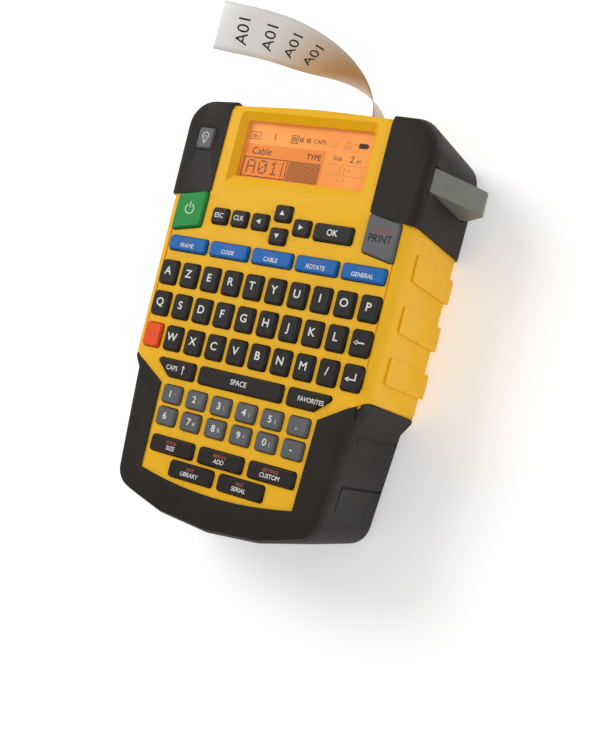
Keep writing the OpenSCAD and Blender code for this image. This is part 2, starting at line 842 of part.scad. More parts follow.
module label_spool() {
    color("white") spool(spool_pos, spool_r - 1.5, spool_r);
}

module ribbon_supply_spool() {
    color("#151515") spool(supply_pos, ribbon_r - 0.4, ribbon_r);
}

module ribbon_takeup_spool() {
    color("#151515") spool(takeup_pos, ribbon_r - 1.2, ribbon_r);
}

// The label: straight inside, then turned and twisted evenly along its length
inside_l = 54;
slot_exit_y = top_y + 3.5;
label_steps = 36;
curl_easing = 0.0077;
rise_easing = 0.0103;
twist_growth = 0.0035;
function label_heading(s) = label_curl * s * (1 - curl_easing * s);
function label_climb(s) = label_rise * s * (1 - rise_easing * s);
function label_roll(s) = label_twist * s + twist_growth * s * s;
function label_tangent(s) = [
    -sin(label_heading(s)) * cos(label_climb(s)),
    cos(label_heading(s)) * cos(label_climb(s)),
    sin(label_climb(s))
];
function label_across(s) =
    let (
        t = label_tangent(s),
        up = unit([0, 0, 1] - t * t.z),
        side = cross(t, up),
        roll = label_roll(s)
    )
    up * cos(roll) + side * sin(roll);
function label_path(i, p, step) =
    i > label_steps ? [] : concat([p], label_path(i + 1, p + step * label_tangent((i + 0.5) * step), step));
label_step = label_l / label_steps;
label_middle = concat(
    [[tape_x, slot_exit_y - inside_l, tape_z]],
    label_path(0, [tape_x, slot_exit_y, tape_z], label_step)
);
function label_ring(i) =
    let (
        s = max(0, i - 1) * label_step,
        w = label_across(s) * tape_w / 2,
        n = cross(label_tangent(s), label_across(s)) * tape_t / 2,
        p = label_middle[i]
    )
    [p - w - n, p + w - n, p + w + n, p - w + n];

module label_strip() {
    rings = label_steps + 2;
    points = [for (i = [0:rings - 1]) each label_ring(i)];
    sides = [
        for (i = [0:rings - 2], k = [0:3])
            let (a = 4 * i + k, b = 4 * i + (k + 1) % 4)
            each [[a, a + 4, b], [b, a + 4, b + 4]]
    ];
    last = 4 * (rings - 1);
    ends = [[0, 1, 2], [0, 2, 3], [last, last + 2, last + 1], [last, last + 3, last + 2]];
    color("white")
        polyhedron(points, concat(sides, ends));
}

// --- Cutter -----------------------------------------------------------------
lever_tip_x = head_half - lever_pivot.x + lever_reach;
module cutter_lever() {
    color("#77776b")
        lever_place()
            rotate([90, 0, 0])
                difference() {
                    linear_extrude(lever_w, center = true)
                        polygon([[-3.6, -3.5], [-2.5, 3], [3.4, 3], [4.9, 1.6], [lever_tip_x - 1.1, -20.6],
                                 [lever_tip_x - 0.2, -22.4], [lever_tip_x, -24], [lever_tip_x - 0.4, -25.8],
                                 [lever_tip_x - 1.6, -27.4], [lever_tip_x - 9, -35.2],
                                 [3, -36.5], [-2, -34], [-6.7, -30.5], [-6.7, -27]]);
                    cylinder(r = lever_pin_r + run_clear, h = lever_w + 2, center = true, $fn = 48);
                }
}

module lever_pin() {
    color("silver")
        lever_place()
            rotate([90, 0, 0])
                cylinder(r = lever_pin_r, h = lever_w + 7.6, center = true, $fn = 48);
}

module cutter_blade() {
    color("#c9ccd0")
        union() {
            block(blade_x, blade_x + 8, blade_y - 0.3, blade_y + 0.3, tape_z - tape_w / 2 - 1.5,
                  tape_z + tape_w / 2 + 1.5);
            block(blade_x + 4, arm_x + 4, blade_y + 0.3, blade_y + 3, carriage_z, carriage_z + carriage_h);
            block(arm_x, arm_x + 4, lever_pivot.y - 5, blade_y + 3, carriage_z, spring_z + 4);
        }
}

spring_turns = 6;
spring_wire_r = 0.35;
spring_sides = 6;
spring_steps = 12;
module cutter_spring() {
    n = spring_turns * spring_steps;
    pitch = (arm_x - spring_x0 - 2 * spring_wire_r - 0.2) / n;
    points = [
        for (i = [0:n], k = [0:spring_sides - 1])
            let (a = 360 * i / spring_steps, b = 360 * k / spring_sides, r = spring_r + spring_wire_r * cos(b))
            [spring_x0 + spring_wire_r + 0.1 + i * pitch + spring_wire_r * sin(b),
             spring_y + r * cos(a), spring_z + r * sin(a)]
    ];
    sides = [
        for (i = [0:n - 1], k = [0:spring_sides - 1])
            let (a = spring_sides * i + k, b = spring_sides * i + (k + 1) % spring_sides)
            each [[a, b, a + spring_sides], [b, b + spring_sides, a + spring_sides]]
    ];
    caps = [[for (k = [spring_sides - 1:-1:0]) k], [for (k = [0:spring_sides - 1]) spring_sides * n + k]];
    color("silver")
        polyhedron(points, concat(sides, caps));
}

// --- Back covers and power --------------------------------------------------
module cassette_door() {
    color("gold")
        difference() {
            union() {
                block(door_x0, door_x1, hinge_y - 0.3, door_y1, door_z, door_z + door_t);
                for (x = hinge_stations)
                    translate([x - 6, hinge_y, hinge_z])
                        rotate([0, 90, 0])
                            cylinder(r = knuckle_r, h = 12, $fn = 32);
                for (x = [cassette_x0 + 12, cassette_x1 - 14])
                    block(x, x + 2, cassette_y0 + 8, cassette_y1 - 6, door_z + door_t - 0.1, cassette_z0 - 0.3);
            }
            for (x = hinge_stations) {
                hinge_bore(x, hinge_pin_r + run_clear);
                block(x - 9.9, x - 6.1, hinge_y - 2, hinge_y + 2.6, 0, 10);
            }
            block(door_x0 + 20, door_x0 + 40, door_y1 - 5, door_y1 - 2.5, -1, door_z + 0.7);
        }
}

module door_hinge_pin() {
    color("silver")
        for (x = hinge_stations)
            translate([x - 9.5, hinge_y, hinge_z])
                rotate([0, 90, 0])
                    cylinder(r = hinge_pin_r, h = 15.5, $fn = 32);
}

module battery_cover() {
    color("gold")
        difference() {
            slab(rect(0, (cover_y0 + cover_y1) / 2, 2 * cover_half, cover_y1 - cover_y0),
                 door_z, door_z + door_t, 2);
            for (i = [0:4])
                block(-10, 10, cover_y0 + 5 + 2.4 * i, cover_y0 + 6.2 + 2.4 * i, -1, door_z + 0.7);
        }
}

module batteries() {
    color("#3f6f8f")
        for (i = [-1:1], z = battery_layers)
            translate([i * battery_pitch, battery_y0, z])
                rotate([-90, 0, 0]) {
                    cylinder(r = battery_r, h = battery_l - 1, $fn = 48);
                    cylinder(r = 2.7, h = battery_l, $fn = 32);
                }
}

module battery_contacts() {
    color("silver")
        for (i = [-1:1], y = [battery_y0 - 1, battery_y1 + 0.3], z = battery_layers)
            block(i * battery_pitch - 5, i * battery_pitch + 5, y, y + 0.7, z - 6, z + 6);
}

module case_screws() {
    color("dimgray")
        for (p = screw_places)
            difference() {
                union() {
                    translate([p.x, p.y, 1.6])
                        cylinder(r = 2.5, h = 2.3, $fn = 32);
                    translate([p.x, p.y, 3.8])
                        cylinder(r = screw_r, h = parting_z + 6 - 3.8, $fn = 32);
                }
                translate([p.x, p.y, 1])
                    cylinder(r = 1.1, h = 1.8, $fn = 6);
            }
}

module power_inlet() {
    color("#1c1c1c")
        difference() {
            translate([-head_half, inlet_y, inlet_z])
                rotate([0, 90, 0])
                    cylinder(r = inlet_body_r, h = inlet_l + 2, $fn = 48);
            translate([-head_half - 1, inlet_y, inlet_z])
                rotate([0, 90, 0])
                    cylinder(r = inlet_r, h = inlet_l + 1, $fn = 48);
        }
}

// --- Keys -------------------------------------------------------------------
module key_power() { color("green") key(power_key); }
module key_print() { color("gray") key(print_key); }
module key_light() { color("gray") key(light_key, key_proud + 0.4); }
module key_escape() { color("#333333") key(nav_key(1.7, 1.98)); }
module key_clear() { color("#333333") key(nav_key(2.62, 1.98)); }
module key_left() { color("#333333") key(nav_key(3.56, 1.98)); }
module key_up() { color("#333333") key(nav_key(4.5, 2.33)); }
module key_down() { color("#333333") key(nav_key(4.5, 1.63)); }
module key_right() { color("#333333") key(nav_key(5.44, 1.98)); }
module key_ok() { color("#333333") key(ok_key); }
module keys_blue() { color("#0068b4") keys(blue_keys()); }
module key_capitals() { color("#333333") key(capitals_key); }
module key_space() { color("#333333") key(space_key); }
module key_favourites() { color("#333333") key(favourites_key); }
module key_alternate() { color("orangered") key(alternate_key); }
module letter_row_1() { color("#333333") keys(letter_keys(0)); }
module letter_row_2() { color("#333333") keys(letter_keys(1)); }
module letter_row_3() { color("#333333") keys(letter_keys(2)); }
module number_row_1() { color("#666666") keys(number_keys(0)); }
module number_row_2() { color("#666666") keys(number_keys(1)); }
module function_row_1() { color("#444444") keys(function_keys(0)); }
module function_row_2() { color("#444444") keys(function_keys(1)); }

front_case();
rear_case();
bumper_lower();
bumper_top_left();
bumper_top_right();
display_window();
lcd_panel();
backlight_panel();
main_board();
board_chips();
keypad_membrane();
mechanism_frame();
print_head();
platen_roller();
platen_gear();
idler_gear();
feed_motor();
motor_pinion();
cassette_shell();
label_spool();
ribbon_supply_spool();
ribbon_takeup_spool();
label_strip();
cutter_lever();
lever_pin();
cutter_blade();
cutter_spring();
cassette_door();
door_hinge_pin();
battery_cover();
batteries();
battery_contacts();
case_screws();
power_inlet();
key_power();
key_print();
key_light();
key_escape();
key_clear();
key_left();
key_up();
key_down();
key_right();
key_ok();
keys_blue();
key_capitals();
key_space();
key_favourites();
key_alternate();
letter_row_1();
letter_row_2();
letter_row_3();
number_row_1();
number_row_2();
function_row_1();
function_row_2();
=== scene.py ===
"""Looks of a handheld label maker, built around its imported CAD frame. Metres, +Z out of the keypad face."""

import json
import math

import bmesh
import bpy
from mathutils import Matrix, Vector


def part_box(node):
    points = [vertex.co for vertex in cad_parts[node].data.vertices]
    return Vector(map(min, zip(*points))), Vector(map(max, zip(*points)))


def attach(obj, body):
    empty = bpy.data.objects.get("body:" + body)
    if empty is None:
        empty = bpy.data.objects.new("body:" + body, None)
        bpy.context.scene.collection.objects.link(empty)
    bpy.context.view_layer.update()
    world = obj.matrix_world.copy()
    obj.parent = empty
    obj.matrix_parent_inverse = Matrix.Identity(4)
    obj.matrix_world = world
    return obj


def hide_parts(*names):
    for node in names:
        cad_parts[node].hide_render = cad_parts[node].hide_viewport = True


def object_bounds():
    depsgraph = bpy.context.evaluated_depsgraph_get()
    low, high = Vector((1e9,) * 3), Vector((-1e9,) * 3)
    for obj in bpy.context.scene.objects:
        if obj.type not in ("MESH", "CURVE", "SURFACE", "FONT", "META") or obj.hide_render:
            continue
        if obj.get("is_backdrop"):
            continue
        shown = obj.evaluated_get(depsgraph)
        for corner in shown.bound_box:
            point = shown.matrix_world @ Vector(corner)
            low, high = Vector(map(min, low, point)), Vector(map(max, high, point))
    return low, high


MM = 0.001

# --- Driving sizes, in millimetres -------------------------------------------
KEY_PITCH = 10.5
ROW_PITCH = 13.65
NUMBER_PITCH = 1.15 * KEY_PITCH
BLUE_PITCH = 1.97 * KEY_PITCH
FUNCTION_PITCH = 2.265 * KEY_PITCH
PRINT_LIFT = 0.02
FILM_PRINT_LIFT = 0.05
LETTER_SIZE = 4.7
WORD_SIZE = 2.5
SMALL_SIZE = 1.9
STRIP = 0.6
EDGE_ROUND = 0.15

TAPE_W = 19.0
TAPE_T = 0.3
TAPE_EXIT = Vector((13.2, 93.5, 18.0))
TAPE_INSIDE = 55.5
TAPE_OUTSIDE = 94.0
TAPE_CURL = 3.2
TAPE_RISE = 2.9
TAPE_TWIST = 0.5
CURL_EASING = 0.0077
RISE_EASING = 0.0103
TWIST_GROWTH = 0.0035
TAPE_STEPS = 188
PRINT_COUNT = 4
PRINT_MARGIN = 10.3
PRINT_SPACING = 11.3
PRINT_SIZE = 6.7

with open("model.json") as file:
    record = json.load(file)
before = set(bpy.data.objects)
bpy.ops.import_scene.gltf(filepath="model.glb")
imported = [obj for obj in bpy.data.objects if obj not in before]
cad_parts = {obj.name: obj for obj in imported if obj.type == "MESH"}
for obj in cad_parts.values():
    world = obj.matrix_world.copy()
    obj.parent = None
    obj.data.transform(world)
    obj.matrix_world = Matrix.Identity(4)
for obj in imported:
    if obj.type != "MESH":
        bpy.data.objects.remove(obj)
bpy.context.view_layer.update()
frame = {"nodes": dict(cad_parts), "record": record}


# --- Materials ---------------------------------------------------------------
def new_material(name):
    mat = bpy.data.materials.new(name)
    mat.use_nodes = True
    tree = mat.node_tree
    return mat, tree, tree.nodes["Principled BSDF"]


def noise(tree, size_mm, detail=3.0):
    """A noise texture whose features are about size_mm across."""
    where = tree.nodes.new("ShaderNodeTexCoord")
    tex = tree.nodes.new("ShaderNodeTexNoise")
    tex.inputs["Scale"].default_value = 1.0 / (size_mm * MM)
    tex.inputs["Detail"].default_value = detail
    tree.links.new(where.outputs["Object"], tex.inputs["Vector"])
    return tex


def spread(tree, source, low, high):
    """Maps a 0 to 1 signal between two numbers."""
    span = tree.nodes.new("ShaderNodeMapRange")
    span.inputs["From Min"].default_value = 0.3
    span.inputs["From Max"].default_value = 0.7
    span.inputs["To Min"].default_value = low
    span.inputs["To Max"].default_value = high
    tree.links.new(source, span.inputs["Value"])
    return span.outputs["Result"]


def mix(tree, factor, a, b):
    node = tree.nodes.new("ShaderNodeMix")
    node.data_type = "RGBA"
    tree.links.new(factor, node.inputs["Factor"])
    for socket, value in ((node.inputs["A"], a), (node.inputs["B"], b)):
        if isinstance(value, tuple):
            socket.default_value = (*value, 1.0)
        else:
            tree.links.new(value, socket)
    return node.outputs["Result"]


def scaled(colour, k):
    return tuple(min(1.0, c * k) for c in colour)


def moulded(name, colour, rough, grain=0.35, depth=0.03, mottle=0.06, wear=0.0, gloss=0.5):
    """A moulded or ground surface: fine grain in the bump, soft mottling, and worn edges."""
    mat, tree, shader = new_material(name)
    large = noise(tree, 14.0)
    fine = noise(tree, grain, 4.0)
    tone = mix(tree, spread(tree, large.outputs["Fac"], 0.0, 1.0), scaled(colour, 1 - mottle),
               scaled(colour, 1 + mottle))
    if wear > 0:
        edge = tree.nodes.new("ShaderNodeNewGeometry")
        mask = tree.nodes.new("ShaderNodeMapRange")
        mask.inputs["From Min"].default_value = 0.53
        mask.inputs["From Max"].default_value = 0.62
        mask.inputs["To Min"].default_value = 0.0
        mask.inputs["To Max"].default_value = wear
        tree.links.new(edge.outputs["Pointiness"], mask.inputs["Value"])
        pale = tuple(c + (0.75 - c) * 0.35 for c in colour)
        tone = mix(tree, mask.outputs["Result"], tone, pale)
    tree.links.new(tone, shader.inputs["Base Color"])
    tree.links.new(spread(tree, fine.outputs["Fac"], rough * 0.9, rough * 1.12), shader.inputs["Roughness"])
    bump = tree.nodes.new("ShaderNodeBump")
    bump.inputs["Strength"].default_value = 0.35
    bump.inputs["Distance"].default_value = depth * MM
    tree.links.new(fine.outputs["Fac"], bump.inputs["Height"])
    tree.links.new(bump.outputs["Normal"], shader.inputs["Normal"])
    shader.inputs["Specular IOR Level"].default_value = gloss
    return mat


def metal(name, colour, rough, stretch=18.0):
    """Brushed or turned metal with fine lines."""
    mat, tree, shader = new_material(name)
    where = tree.nodes.new("ShaderNodeTexCoord")
    place = tree.nodes.new("ShaderNodeMapping")
    place.inputs["Scale"].default_value = (stretch, 1.0, stretch)
    lines = tree.nodes.new("ShaderNodeTexNoise")
    lines.inputs["Scale"].default_value = 220.0
    lines.inputs["Detail"].default_value = 4.0
    tree.links.new(where.outputs["Object"], place.inputs["Vector"])
    tree.links.new(place.outputs["Vector"], lines.inputs["Vector"])
    tone = mix(tree, spread(tree, lines.outputs["Fac"], 0.0, 1.0), scaled(colour, 0.86), scaled(colour, 1.08))
    tree.links.new(tone, shader.inputs["Base Color"])
    tree.links.new(spread(tree, lines.outputs["Fac"], rough * 0.8, rough * 1.25), shader.inputs["Roughness"])
    shader.inputs["Metallic"].default_value = 1.0
    bump = tree.nodes.new("ShaderNodeBump")
    bump.inputs["Strength"].default_value = 0.2
    bump.inputs["Distance"].default_value = 0.01 * MM
    tree.links.new(lines.outputs["Fac"], bump.inputs["Height"])
    tree.links.new(bump.outputs["Normal"], shader.inputs["Normal"])
    return mat


def clear_lens(name, colour, solid):
    """A thin clear lens: mostly see-through, with a gloss."""
    mat, tree, shader = new_material(name)
    haze = noise(tree, 9.0)
    tree.links.new(spread(tree, haze.outputs["Fac"], 0.05, 0.1), shader.inputs["Roughness"])
    shader.inputs["Base Color"].default_value = (*colour, 1.0)
    shader.inputs["Alpha"].default_value = solid
    shader.inputs["Specular IOR Level"].default_value = 0.05
    return mat


def lit_panel(name, deep, bright, strength):
    """A lit display: two warm tones with a fine cell grain, glowing a little."""
    mat, tree, shader = new_material(name)
    cells = noise(tree, 22.0, 1.0)
    tone = mix(tree, spread(tree, cells.outputs["Fac"], 0.0, 1.0), deep, bright)
    tree.links.new(tone, shader.inputs["Base Color"])
    tree.links.new(tone, shader.inputs["Emission Color"])
    shader.inputs["Emission Strength"].default_value = strength
    shader.inputs["Roughness"].default_value = 0.6
    shader.inputs["Specular IOR Level"].default_value = 0.1
    return mat


def ink(name, colour, rough=0.45):
    """Printed ink with slightly uneven cover."""
    return moulded(name, colour, rough, grain=0.12, depth=0.008, mottle=0.04, gloss=0.15)


def label_film(name):
    """Printed film: white, with painted shade making it darker and warmer nearer to the machine."""
    mat, tree, shader = new_material(name)
    where = tree.nodes.new("ShaderNodeTexCoord")
    split = tree.nodes.new("ShaderNodeSeparateXYZ")
    # Painted shade: the film goes from dark warm brown at 36 mm height to white at 72 mm, standing in for the
    # shade near the slot.
    warm = tree.nodes.new("ShaderNodeMapRange")
    warm.inputs["From Min"].default_value = 36 * MM
    warm.inputs["From Max"].default_value = 72 * MM
    fibre = noise(tree, 1.6, 5.0)
    tree.links.new(where.outputs["Object"], split.inputs["Vector"])
    tree.links.new(split.outputs["Z"], warm.inputs["Value"])
    film_tone_with_painted_shade = mix(tree, warm.outputs["Result"], (0.50, 0.37, 0.27), (0.90, 0.88, 0.86))
    tone = mix(tree, spread(tree, fibre.outputs["Fac"], 0.0, 0.08), film_tone_with_painted_shade, (0.74, 0.66, 0.58))
    tree.links.new(tone, shader.inputs["Base Color"])
    tree.links.new(spread(tree, fibre.outputs["Fac"], 0.32, 0.42), shader.inputs["Roughness"])
    bump = tree.nodes.new("ShaderNodeBump")
    bump.inputs["Strength"].default_value = 0.15
    bump.inputs["Distance"].default_value = 0.02 * MM
    tree.links.new(fibre.outputs["Fac"], bump.inputs["Height"])
    tree.links.new(bump.outputs["Normal"], shader.inputs["Normal"])
    shader.inputs["Coat Weight"].default_value = 0.15
    return mat


MATERIALS = {
    "yellow_shell": moulded("yellow_abs", (0.95, 0.50, 0.0015), 0.42, 0.30, 0.018, 0.03, 0.08, 0.1),
    "black_rubber": moulded("soft_rubber", (0.024, 0.0195, 0.0165), 0.62, 0.22, 0.04, 0.12, 0.08, 0.16),
    "window_clear": clear_lens("lens", (1.0, 0.82, 0.6), 0.03),
    "amber_display": lit_panel("amber_cells", (0.86, 0.30, 0.065), (0.90, 0.37, 0.10), 0.22),
    "light_guide": moulded("diffuser", (0.85, 0.83, 0.78), 0.4, 0.5, 0.01),
    "circuit_board": moulded("solder_mask", (0.02, 0.14, 0.05), 0.32, 0.8, 0.02, 0.15),
    "chip_black": moulded("epoxy", (0.02, 0.02, 0.022), 0.5, 0.2, 0.02, 0.1),
    "silicone": moulded("silicone_sheet", (0.27, 0.27, 0.26), 0.5, 0.4, 0.02),
    "pressed_steel": metal("pressed_steel", (0.58, 0.59, 0.61), 0.32),
    "ceramic": moulded("ceramic", (0.72, 0.70, 0.63), 0.22, 0.3, 0.008),
    "roller_rubber": moulded("roller", (0.03, 0.03, 0.032), 0.6, 0.15, 0.05, 0.1),
    "gear_plastic": moulded("gear_plastic", (0.74, 0.71, 0.60), 0.4, 0.25, 0.01),
    "brass": metal("turned_brass", (0.70, 0.47, 0.16), 0.28),
    "cassette_plastic": moulded("cassette", (0.035, 0.035, 0.038), 0.42, 0.25, 0.03, 0.08, 0.1),
    "label_film": label_film("film"),
    "ribbon_black": moulded("ribbon", (0.012, 0.012, 0.014), 0.2, 1.5, 0.01, 0.1),
    "lever_plastic": moulded("lever_plastic", (0.21, 0.215, 0.18), 0.45, 0.25, 0.02, 0.06, 0.15, 0.25),
    "key_charcoal": moulded("keycap_charcoal", (0.020, 0.0165, 0.0145), 0.46, 0.20, 0.015, 0.10, 0.12, 0.18),
    "key_grey": moulded("keycap_grey", (0.125, 0.125, 0.13), 0.45, 0.20, 0.015, 0.06, 0.08, 0.2),
    "key_blue": moulded("keycap_blue", (0.0, 0.125, 0.44), 0.42, 0.20, 0.015, 0.05, 0.08, 0.2),
    "key_green": moulded("keycap_green", (0.001, 0.26, 0.042), 0.42, 0.20, 0.015, 0.05, 0.08, 0.2),
    "key_orange": moulded("keycap_orange", (0.90, 0.085, 0.008), 0.42, 0.20, 0.015, 0.04, 0.06, 0.2),
    "battery_wrap": moulded("wrap", (0.03, 0.09, 0.16), 0.25, 2.0, 0.005, 0.12),
    "inlet_black": moulded("inlet_plastic", (0.012, 0.012, 0.012), 0.35, 0.3, 0.02),
}
WHITE_INK = ink("ink_white", (0.80, 0.79, 0.76))
ORANGE_INK = ink("ink_orange", (0.55, 0.14, 0.05))
BLACK_INK = ink("ink_black", (0.012, 0.012, 0.012))
RED_INK = ink("ink_red", (0.45, 0.03, 0.015))
MINT_INK = ink("ink_mint", (0.52, 0.86, 0.50))
PLUM_INK = ink("ink_plum", (0.2, 0.13, 0.35))
# Painted shade: a darker yellow standing in for the shade inside the shallow groove round the arrow keys, not
# a print.
GROOVE_PAINTED_SHADE = ink("groove_shade", (0.66, 0.33, 0.004))
BROWN_LCD = ink("segments", (0.05, 0.012, 0.004), 0.5)
PALE_LCD = ink("faint_segments", (0.62, 0.22, 0.05), 0.4)
DEEP_LCD = lit_panel("matrix_ground", (0.78, 0.22, 0.04), (0.82, 0.26, 0.05), 0.20)


def node_slots(record):
    return {part["node"]: part["material_slot"] for part in record["subparts"]}


SLOTS = node_slots(frame["record"])


# --- CAD nodes: materials and softened edges ---------------------------------
def soften(obj, width_mm, limit_deg=38.0):
    weld = obj.modifiers.new("join", "WELD")
    weld.merge_threshold = 0.004 * MM
    bevel = obj.modifiers.new("edges", "BEVEL")
    bevel.width = width_mm * MM
    bevel.segments = 2
    bevel.limit_method = "ANGLE"
    bevel.angle_limit = math.radians(limit_deg)
    bevel.harden_normals = False
    normals = obj.modifiers.new("shading", "WEIGHTED_NORMAL")
    normals.keep_sharp = True


KEY_NODES = [n for n in frame["nodes"] if n.startswith(("key_", "keys_", "letter_", "number_", "function_"))]
PLAIN_NODES = ("label_strip", "cutter_spring", "platen_gear", "idler_gear", "motor_pinion")


def dress(name, obj):
    obj.data.materials.clear()
    obj.data.materials.append(MATERIALS[SLOTS[name]])
    obj.data.shade_smooth()
    if name in PLAIN_NODES:
        obj.modifiers.new("join", "WELD").merge_threshold = 0.004 * MM
    elif name in KEY_NODES:
        soften(obj, EDGE_ROUND)
    else:
        soften(obj, EDGE_ROUND * 0.8)


# --- Flat printing, as thin mesh ---------------------------------------------
def cut_in_strips(shape, width):
    """Cuts a flat shape both ways into squares of the given width, so that it can follow a curved face."""
    work = bmesh.new()
    work.from_mesh(shape)
    for axis in (0, 1):
        spots = [v.co[axis] for v in work.verts]
        at = math.floor(min(spots) / width) * width
        while at < max(spots):
            cut = Vector((0, 0, 0))
            cut[axis] = at
            normal = Vector((0, 0, 0))
            normal[axis] = 1
            everything = work.verts[:] + work.edges[:] + work.faces[:]
            bmesh.ops.bisect_plane(work, geom=everything, dist=width / 1000, plane_co=cut, plane_no=normal)
            at += width
    work.to_mesh(shape)
    work.free()


class Print:
    """Collects flat shapes in millimetres and turns them into one mesh piece."""

    def __init__(self, name, materials, where=None):
        self.name = name
        self.materials = materials
        self.where = where
        self.points = []
        self.faces = []
        self.inks = []

    def add(self, points, faces, ink_no=0):
        start = len(self.points)
        self.points.extend(points)
        self.faces.extend([[start + i for i in f] for f in faces])
        self.inks.extend([ink_no] * len(faces))

    def patch(self, corners, ink_no=0):
        self.add(corners, [list(range(len(corners)))], ink_no)

    def bar(self, x0, y0, x1, y1, ink_no=0):
        self.patch([(x0, y0), (x1, y0), (x1, y1), (x0, y1)], ink_no)

    def line(self, points, width, ink_no=0, closed=False):
        """A line of even width, with mitred corners."""
        n = len(points)
        sides = []
        for i, p in enumerate(points):
            before = points[i - 1] if (i > 0 or closed) else None
            after = points[(i + 1) % n] if (i < n - 1 or closed) else None
            a = (Vector(p) - Vector(before)).normalized() if before else None
            b = (Vector(after) - Vector(p)).normalized() if after else None
            a = a or b
            b = b or a
            along = (a + b).normalized()
            across = Vector((-along.y, along.x))
            reach = width / 2 / max(0.5, along.dot(a))
            sides.append((Vector(p) + across * reach, Vector(p) - across * reach))
        for i in range(n if closed else n - 1):
            l0, r0 = sides[i]
            l1, r1 = sides[(i + 1) % n]
            self.patch([tuple(r0), tuple(r1), tuple(l1), tuple(l0)], ink_no)

    def arc(self, x, y, r, start, end, width, ink_no=0, steps=24):
        turn = [math.radians(start + (end - start) * i / steps) for i in range(steps + 1)]
        self.line([(x + r * math.cos(t), y + r * math.sin(t)) for t in turn], width, ink_no)

    def word(self, text, x, y, size, ink_no=0, bold=0.0, lean=0.0, wide=1.0):
        curve = bpy.data.curves.new("word", "FONT")
        curve.body = text
        curve.size = size
        curve.offset = bold
        curve.shear = lean
        curve.align_x = "CENTER"
        curve.align_y = "CENTER"
        curve.resolution_u = 6
        obj = bpy.data.objects.new("word", curve)
        bpy.context.scene.collection.objects.link(obj)
        bpy.context.view_layer.update()
        shape = bpy.data.meshes.new_from_object(obj.evaluated_get(bpy.context.evaluated_depsgraph_get()))
        if self.where:
            cut_in_strips(shape, STRIP)
        self.add([(x + v.co.x * wide, y + v.co.y) for v in shape.vertices],
                 [list(p.vertices) for p in shape.polygons], ink_no)
        bpy.data.objects.remove(obj)
        bpy.data.meshes.remove(shape)
        bpy.data.curves.remove(curve)

    def make(self, body, z=0.0, slot=None):
        mesh = bpy.data.meshes.new(self.name)
        where = self.where or (lambda u, v: Vector((u, v, z + PRINT_LIFT)))
        mesh.from_pydata([where(u, v) * MM for u, v in self.points], [], self.faces)
        for m in self.materials:
            mesh.materials.append(m)
        for face, ink_no in zip(mesh.polygons, self.inks):
            face.material_index = ink_no
        mesh.validate()
        obj = bpy.data.objects.new(self.name, mesh)
        bpy.context.scene.collection.objects.link(obj)
        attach(obj, body)
        return obj


def centre(node):
    lo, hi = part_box(node)
    return (lo.x + hi.x) / 2 / MM, (lo.y + hi.y) / 2 / MM


def top_of(node):
    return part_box(node)[1].z / MM


def row_places(node, count, pitch):
    x, y = centre(node)
    return [(x + (i - (count - 1) / 2) * pitch, y) for i in range(count)]


def body_of(node):
    for body, nodes in frame["record"]["behaviour"]["bodies"].items():
        if node in nodes:
            return body
    return "root"


def left_arrow(p, x, y):
    p.line([(x - 2.0, y), (x + 2.1, y)], 0.55)
    p.patch([(x - 2.6, y), (x - 0.9, y - 1.0), (x - 0.9, y + 1.0)])


def enter_arrow(p, x, y):
    p.line([(x + 1.9, y + 1.9), (x + 1.9, y - 0.7), (x - 1.2, y - 0.7)], 0.55)
    p.patch([(x - 2.5, y - 0.7), (x - 0.8, y - 1.7), (x - 0.8, y + 0.3)])


def letter_row(node, text, extra=None):
    p = Print("legend_" + node, [WHITE_INK])
    places = row_places(node, len(text) + (1 if extra else 0), KEY_PITCH)
    for letter, (x, y) in zip(text, places):
        p.word(letter, x, y + 0.3, LETTER_SIZE, bold=0.075)
    if extra:
        extra(p, *places[-1])
    p.make(body_of(node), top_of(node))


def number_row(node, text, marks):
    p = Print("legend_" + node, [WHITE_INK])
    for digit, mark, (x, y) in zip(text, marks, row_places(node, len(text), NUMBER_PITCH)):
        p.word(digit, x - 0.2, y, 3.9, bold=0.07)
        if mark:
            p.word(mark, x + 2.3, y - 0.3, 2.2)
    p.make(body_of(node), top_of(node))


def word_row(node, words, small, pitch, inks, size=WORD_SIZE):
    p = Print("legend_" + node, inks)
    for text, top, (x, y) in zip(words, small, row_places(node, len(words), pitch)):
        p.word(text, x, y - 0.9, size, 0, bold=0.03, lean=0.12, wide=0.9)
        p.word(top, x, y + 1.25, SMALL_SIZE, 1, lean=0.12, wide=0.85)
    p.make(body_of(node), top_of(node))


def single(node, text, size, dx=0.0, dy=0.0, inks=None, bold=0.03, wide=1.0):
    p = Print("legend_" + node, inks or [WHITE_INK])
    x, y = centre(node)
    p.word(text, x + dx, y + dy, size, bold=bold, wide=wide)
    return p, x, y


def keypad_legends():
    letter_row("letter_row_1", "AZERTYUIOP")
    letter_row("letter_row_2", "QSDFGHJKL", left_arrow)
    letter_row("letter_row_3", "WXCVBNM/", enter_arrow)
    number_row("number_row_1", "12345.", ["'", ";", ":", "|", ")", ""])
    number_row("number_row_2", "67890-", ["", "#", "%", "*", "(", ""])
    word_row("function_row_1", ["SIZE", "ADD", "CUSTOM"], ["STYLES", "REMOVE", "SETTINGS"],
             FUNCTION_PITCH, [WHITE_INK, ORANGE_INK])
    word_row("function_row_2", ["LIBRARY", "SERIAL"], ["SAVE", "FEED"], FUNCTION_PITCH,
             [WHITE_INK, ORANGE_INK])
    word_row("keys_blue", ["FRAME", "CODE", "CABLE", "ROTATE", "GENERAL"],
             ["PANEL", "TYPE", "FLAG", "MIRROR", "FIXED"], BLUE_PITCH, [WHITE_INK, PLUM_INK])


